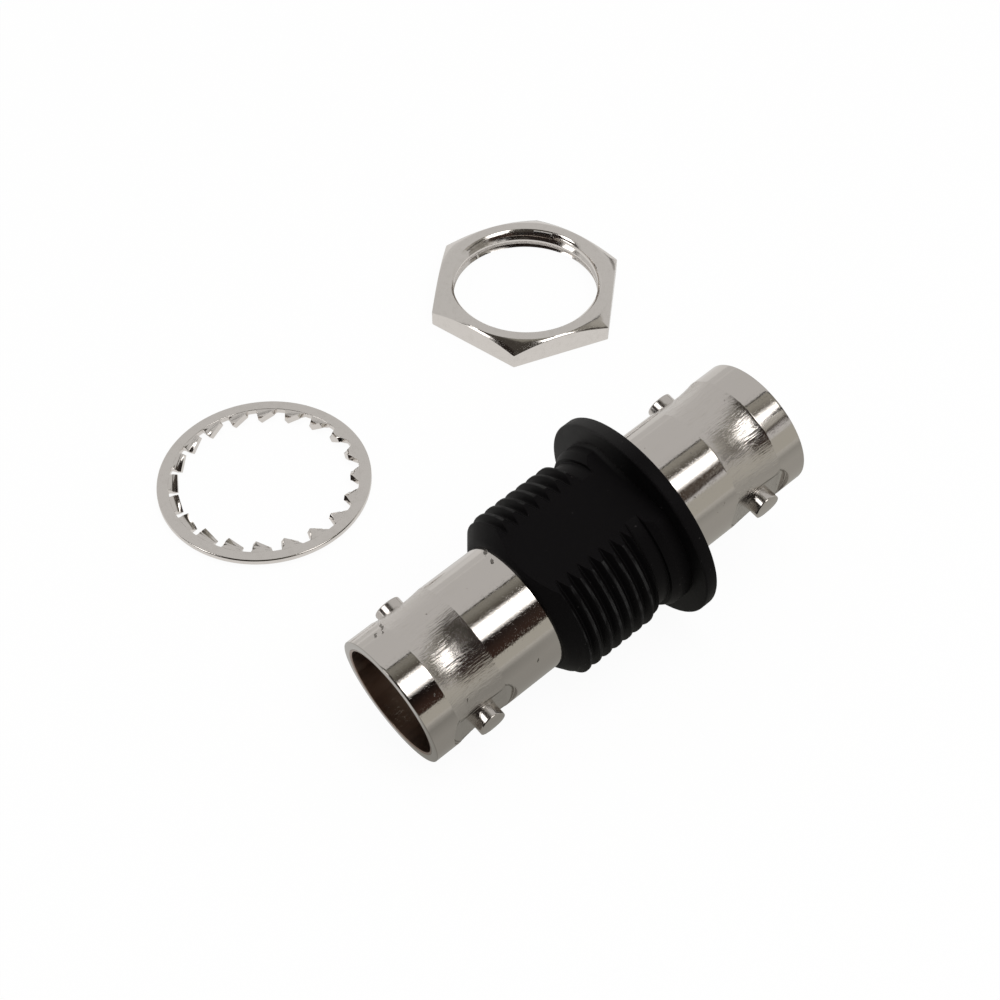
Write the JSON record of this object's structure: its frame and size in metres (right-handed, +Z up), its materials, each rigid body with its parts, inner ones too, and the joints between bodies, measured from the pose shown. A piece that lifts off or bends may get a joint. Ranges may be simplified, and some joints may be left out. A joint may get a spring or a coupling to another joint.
{
  "type": "bnc connector",
  "caption": "Insulated bayonet coaxial bulkhead adapter with a jack at each end, flanged threaded bushing with a flat, loose hex nut and toothed lock washer",
  "frame": {"origin": "under the middle of the whole set, on the table that it lies on", "axes": "+Z up from the table; +X along the adapter as seen from above, from the near jack to the far jack; the adapter's axis rises 8.2 degrees towards +X, because it rests on its near rim and its flange"},
  "size_m": [0.0442, 0.0436, 0.0155],
  "materials": {
    "nickel_plate": "bright nickel plating on brass, lightly tool marked",
    "black_plastic": "satin black moulded plastic",
    "white_plastic": "smooth white plastic",
    "gold_plate": "thin gold plating",
    "nut_plate": "bright nickel plating",
    "washer_plate": "bright nickel plating"
  },
  "bodies": {
    "root": {"near_shell": "nickel_plate", "far_shell": "nickel_plate", "insulating_bushing": "black_plastic", "near_insulator": "white_plastic", "far_insulator": "white_plastic", "centre_contact": "gold_plate", "hex_nut": "nut_plate", "lock_washer": "washer_plate"}
  },
  "joints": []
}
